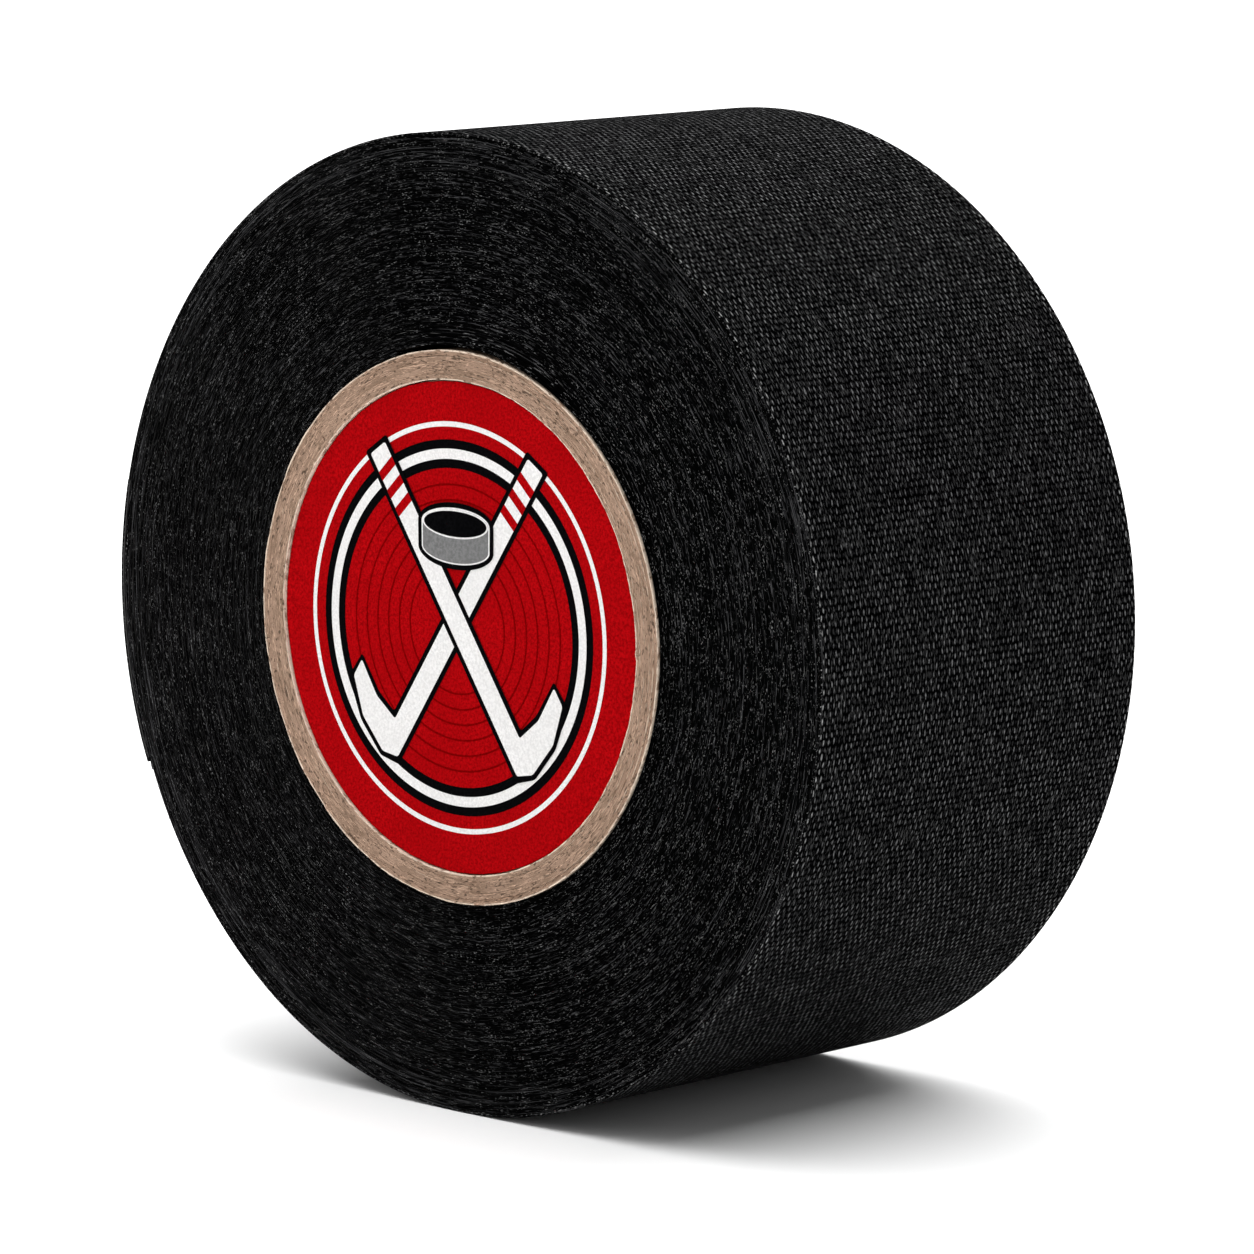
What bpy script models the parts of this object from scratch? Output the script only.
"""A roll of cloth stick tape, standing on its round side.

The tape is wound on a spiral-wound paperboard core, and a printed disc is a push fit in the core's
front mouth. The roll's axis is Y, the printed disc looks towards -Y, and +Z is up. The origin is on
the axis, halfway across the tape. Every length is in metres.

Bodies: the roll (core plies and wound tape), the free end of the tape, which peels about the line
where it leaves the roll, and the printed disc, which slides out of the mouth.
"""
import math

import bmesh
import bpy
from mathutils import Vector

# The roll.
ROLL_DIAMETER = 0.0766          # over the last turn, at the free end
TAPE_WIDTH = 0.0360             # the core is slit together with the tape, so it is as long
SEGMENTS = 72                   # facets round every turned piece

# The tape: woven cloth with a tacky coat on its inner side.
CLOTH_THICKNESS = 0.00022
COAT_THICKNESS = 0.00008
LAYER_GAP = 0.00002             # between layers that are stuck together
TAIL_LENGTH = 0.0230            # free end of the tape, along the round side
TAIL_ROOT_ANGLE = 167.5         # where it starts, in degrees from +X towards +Z
TAIL_ROOT_GAP = 0.00005         # between the free end and the turn that it is part of

# The core: paper plies wound as a spiral, each with one open butt seam.
CORE_BORE = 0.0384              # slips on a 38.1 mm spindle
PLY_THICKNESS = 0.00042
BODY_PLIES = 3                  # between the inner liner and the outer wrap
GLUE_LINE = 0.00005             # between plies
SEAM_LEAD = 0.0670              # how far a seam travels along the core in one turn
SEAM_GAP = 0.00030              # the slit that the butted edges leave
SEAM_STAGGER = 137.0            # degrees from one ply's seam to the next
CORE_FIT = 0.00005              # from the outer wrap to the first turn of tape

# The disc in the mouth: printed paper stuck on grey board.
DISC_FIT = 0.00020              # all round, to the core's bore
DISC_RECESS = 0.00020           # from the core's end down to the printed face
BOARD_THICKNESS = 0.00150
DISC_GLUE_THICKNESS = 0.00010
PAPER_THICKNESS = 0.00020

# Cutters and colours.
CUTTER_MARGIN = 0.00060         # how far a cutter stands past what it cuts
CUTTER_STEP = 8.0               # degrees of turn for each step of a seam cutter
CLOTH_BLACK = (0.012, 0.012, 0.013, 1.0)
COAT_GREY = (0.050, 0.047, 0.042, 1.0)
KRAFT = (0.36, 0.25, 0.16, 1.0)
KRAFT_PALE = (0.46, 0.34, 0.23, 1.0)
BOARD_GREY = (0.30, 0.28, 0.25, 1.0)
GLUE_WHITE = (0.62, 0.60, 0.54, 1.0)
PRINT_RED = (0.55, 0.012, 0.014, 1.0)

STEP = 2 * math.pi / SEGMENTS
TURN_PITCH = CLOTH_THICKNESS + LAYER_GAP + COAT_THICKNESS + LAYER_GAP
BORE_RADIUS = CORE_BORE / 2
PLIES = BODY_PLIES + 2
CORE_RADIUS = BORE_RADIUS + PLIES * PLY_THICKNESS + (PLIES - 1) * GLUE_LINE
FRONT = -TAPE_WIDTH / 2


def corner_angle(k):
    """Angle of facet corner k, so that a flat facet faces straight down."""
    return (k + 0.5) * STEP


def polar(radius, angle, y=0.0):
    """A point at this radius and angle from the roll's axis."""
    return Vector((radius * math.cos(angle), y, radius * math.sin(angle)))


# The free end covers whole facets, from the corner at its root to the corner at its cut edge.
FACET_WIDTH = ROLL_DIAMETER * math.pi / SEGMENTS
TAIL_FACETS = max(2, round(TAIL_LENGTH / FACET_WIDTH))
TAIL_ROOT = round(math.radians(TAIL_ROOT_ANGLE) / STEP - 0.5)
TAIL_EDGE = TAIL_ROOT + TAIL_FACETS


def turn_radius(k):
    """Outer radius of the last turn at corner k: it climbs one tape thickness in a turn."""
    return ROLL_DIAMETER / 2 - TURN_PITCH * (TAIL_EDGE - k) / SEGMENTS


def material(name, colour, roughness):
    """A plain finish in this colour."""
    finish = bpy.data.materials.new(name)
    finish.use_nodes = True
    shader = finish.node_tree.nodes["Principled BSDF"]
    shader.inputs["Base Color"].default_value = colour
    shader.inputs["Roughness"].default_value = roughness
    shader.inputs["Metallic"].default_value = 0.0
    return finish


def solid(name, bm, finish, carrier=None):
    """Turn a finished bmesh into one named object, on its carrier if it has one."""
    bmesh.ops.recalc_face_normals(bm, faces=bm.faces)
    if carrier is not None:
        bmesh.ops.translate(bm, verts=bm.verts, vec=-carrier.location)
    mesh = bpy.data.meshes.new(name)
    bm.to_mesh(mesh)
    bm.free()
    mesh.shade_smooth()
    mesh.set_sharp_from_angle(angle=math.radians(30))
    if finish is not None:
        mesh.materials.append(finish)
    piece = bpy.data.objects.new(name, mesh)
    bpy.context.collection.objects.link(piece)
    piece.parent = carrier
    return piece


def carrier(name, location):
    """An empty on a joint's axis, for the pieces that move with it."""
    empty = bpy.data.objects.new(name, None)
    empty.location = location
    empty.empty_display_size = CORE_BORE / 4
    bpy.context.collection.objects.link(empty)
    return empty


def extrude_across(bm, y_low, y_high):
    """Give a flat section in the XZ plane its width along Y."""
    bmesh.ops.translate(bm, verts=bm.verts, vec=(0, y_low, 0))
    grown = bmesh.ops.extrude_face_region(bm, geom=bm.faces[:])
    moved = [part for part in grown["geom"] if isinstance(part, bmesh.types.BMVert)]
    bmesh.ops.translate(bm, verts=moved, vec=(0, y_high - y_low, 0))


def ring(r_inner, r_outer):
    """A tube across the whole tape width, between two radii."""
    bm = bmesh.new()
    inside = [bm.verts.new(polar(r_inner, corner_angle(k))) for k in range(SEGMENTS)]
    outside = [bm.verts.new(polar(r_outer, corner_angle(k))) for k in range(SEGMENTS)]
    for k in range(SEGMENTS):
        after = (k + 1) % SEGMENTS
        bm.faces.new((inside[k], inside[after], outside[after], outside[k]))
    extrude_across(bm, FRONT, -FRONT)
    return bm


def seam_cutter(name, r_inner, r_outer, start_angle):
    """A thin helical ribbon that runs along a ply's seam, past both ends and both walls."""
    slope = math.atan2(SEAM_LEAD, math.pi * (r_inner + r_outer))
    height = SEAM_GAP / math.cos(slope)
    run = TAPE_WIDTH + 2 * (CUTTER_MARGIN + height)
    sweep = 2 * math.pi * run / SEAM_LEAD
    steps = math.ceil(math.degrees(sweep) / CUTTER_STEP)
    bm = bmesh.new()
    corners = [bm.verts.new(polar(radius, start_angle, -run / 2 + side * height / 2))
               for radius, side in ((r_inner - CUTTER_MARGIN, -1), (r_outer + CUTTER_MARGIN, -1),
                                    (r_outer + CUTTER_MARGIN, 1), (r_inner - CUTTER_MARGIN, 1))]
    bm.faces.new(corners)
    # Turning about -Y goes from +X towards +Z.
    bmesh.ops.spin(bm, geom=bm.verts[:] + bm.edges[:] + bm.faces[:], cent=(0, 0, 0),
                   axis=(0, -1, 0), dvec=(0, run / steps, 0), angle=sweep, steps=steps)
    cutter = solid(name, bm, None)
    cutter.hide_render = True
    cutter.display_type = "WIRE"
    return cutter


def core_ply(name, number, finish):
    """One ply of the core, counted from the bore: a paper tube slit along its spiral seam."""
    r_inner = BORE_RADIUS + number * (PLY_THICKNESS + GLUE_LINE)
    r_outer = r_inner + PLY_THICKNESS
    ply = solid(name, ring(r_inner, r_outer), finish)
    seam = ply.modifiers.new("butt_seam", "BOOLEAN")
    seam.operation = "DIFFERENCE"
    seam.solver = "EXACT"
    seam.object = seam_cutter(name + "_seam", r_inner, r_outer, math.radians(number * SEAM_STAGGER))


def build_core():
    """Inner liner, body plies and outer wrap, each a glue line apart."""
    core_ply("core_inner_liner", 0, material("liner_kraft", KRAFT_PALE, 0.80))
    for number in range(1, BODY_PLIES + 1):
        core_ply(f"core_body_ply_{number}", number, material(f"body_kraft_{number}", KRAFT, 0.85))
    core_ply("core_outer_wrap", PLIES - 1, material("wrap_kraft", KRAFT_PALE, 0.80))


def build_wound_tape():
    """All the turns that stay on the roll, with a step where the free end starts to lift."""
    bm = bmesh.new()
    r_inner = CORE_RADIUS + CORE_FIT
    inside, outside = [], []
    for count in range(SEGMENTS):
        k = TAIL_EDGE - SEGMENTS + count
        under_tail = k > TAIL_ROOT
        radius = turn_radius(k) - (TURN_PITCH if under_tail else 0.0)
        inside.append(bm.verts.new(polar(r_inner, corner_angle(k))))
        outside.append(bm.verts.new(polar(radius, corner_angle(k))))
    root_count = SEGMENTS - TAIL_FACETS
    foot = bm.verts.new(polar(turn_radius(TAIL_ROOT) - TURN_PITCH, corner_angle(TAIL_ROOT)))
    for count in range(SEGMENTS):
        after = (count + 1) % SEGMENTS
        corners = [inside[count], inside[after], outside[after], outside[count]]
        if after == root_count:
            corners.insert(2, foot)
        if count == root_count:
            corners[3] = foot
        bm.faces.new(corners)
    extrude_across(bm, FRONT, -FRONT)
    solid("wound_tape", bm, material("black_cloth", CLOTH_BLACK, 0.90))


def tail_corner(k, depth):
    """Corner k of the free end, this far below its surface. Its root stands off the turn by a gap."""
    corner = polar(turn_radius(k) - depth, corner_angle(k))
    if k == TAIL_ROOT:
        onward = polar(turn_radius(k + 1) - depth, corner_angle(k + 1))
        corner = corner.lerp(onward, TAIL_ROOT_GAP / FACET_WIDTH)
    return corner


def tail_strip(name, depth, thickness, finish, hinge):
    """One layer of the free end, from its depth below the last turn's surface."""
    bm = bmesh.new()
    rows = [[bm.verts.new(tail_corner(k, below)) for below in (depth, depth + thickness)]
            for k in range(TAIL_ROOT, TAIL_EDGE + 1)]
    for (top, under), (next_top, next_under) in zip(rows, rows[1:]):
        bm.faces.new((top, next_top, next_under, under))
    extrude_across(bm, FRONT, -FRONT)
    solid(name, bm, finish, hinge)


def build_tail():
    """The free end: cloth outside and its tacky coat inside, hinged where it leaves the roll."""
    hinge = carrier("tail_hinge", tail_corner(TAIL_ROOT, 0.0))
    tail_strip("tail_cloth", 0.0, CLOTH_THICKNESS,
               material("tail_black_cloth", CLOTH_BLACK, 0.90), hinge)
    tail_strip("tail_tacky_coat", CLOTH_THICKNESS + LAYER_GAP, COAT_THICKNESS,
               material("tacky_coat", COAT_GREY, 0.45), hinge)


def disc_layer(name, y_front, thickness, finish, slide):
    """One round layer of the disc in the mouth."""
    bm = bmesh.new()
    radius = BORE_RADIUS - DISC_FIT
    rim = [bm.verts.new(polar(radius, corner_angle(k))) for k in range(SEGMENTS)]
    bm.faces.new(rim)
    extrude_across(bm, y_front, y_front + thickness)
    solid(name, bm, finish, slide)


def build_disc():
    """Printed paper, its glue and the grey board, sliding as one along the axis."""
    y_paper = FRONT + DISC_RECESS
    y_glue = y_paper + PAPER_THICKNESS + LAYER_GAP
    y_board = y_glue + DISC_GLUE_THICKNESS + LAYER_GAP
    slide = carrier("disc_slide", Vector((0, y_paper, 0)))
    disc_layer("disc_printed_paper", y_paper, PAPER_THICKNESS,
               material("red_print", PRINT_RED, 0.60), slide)
    disc_layer("disc_glue_film", y_glue, DISC_GLUE_THICKNESS,
               material("glue_film", GLUE_WHITE, 0.50), slide)
    disc_layer("disc_grey_board", y_board, BOARD_THICKNESS,
               material("grey_board", BOARD_GREY, 0.90), slide)


def main():
    """Clear the scene and build the roll."""
    for old in list(bpy.data.objects):
        bpy.data.objects.remove(old, do_unlink=True)
    build_core()
    build_wound_tape()
    build_tail()
    build_disc()


main()
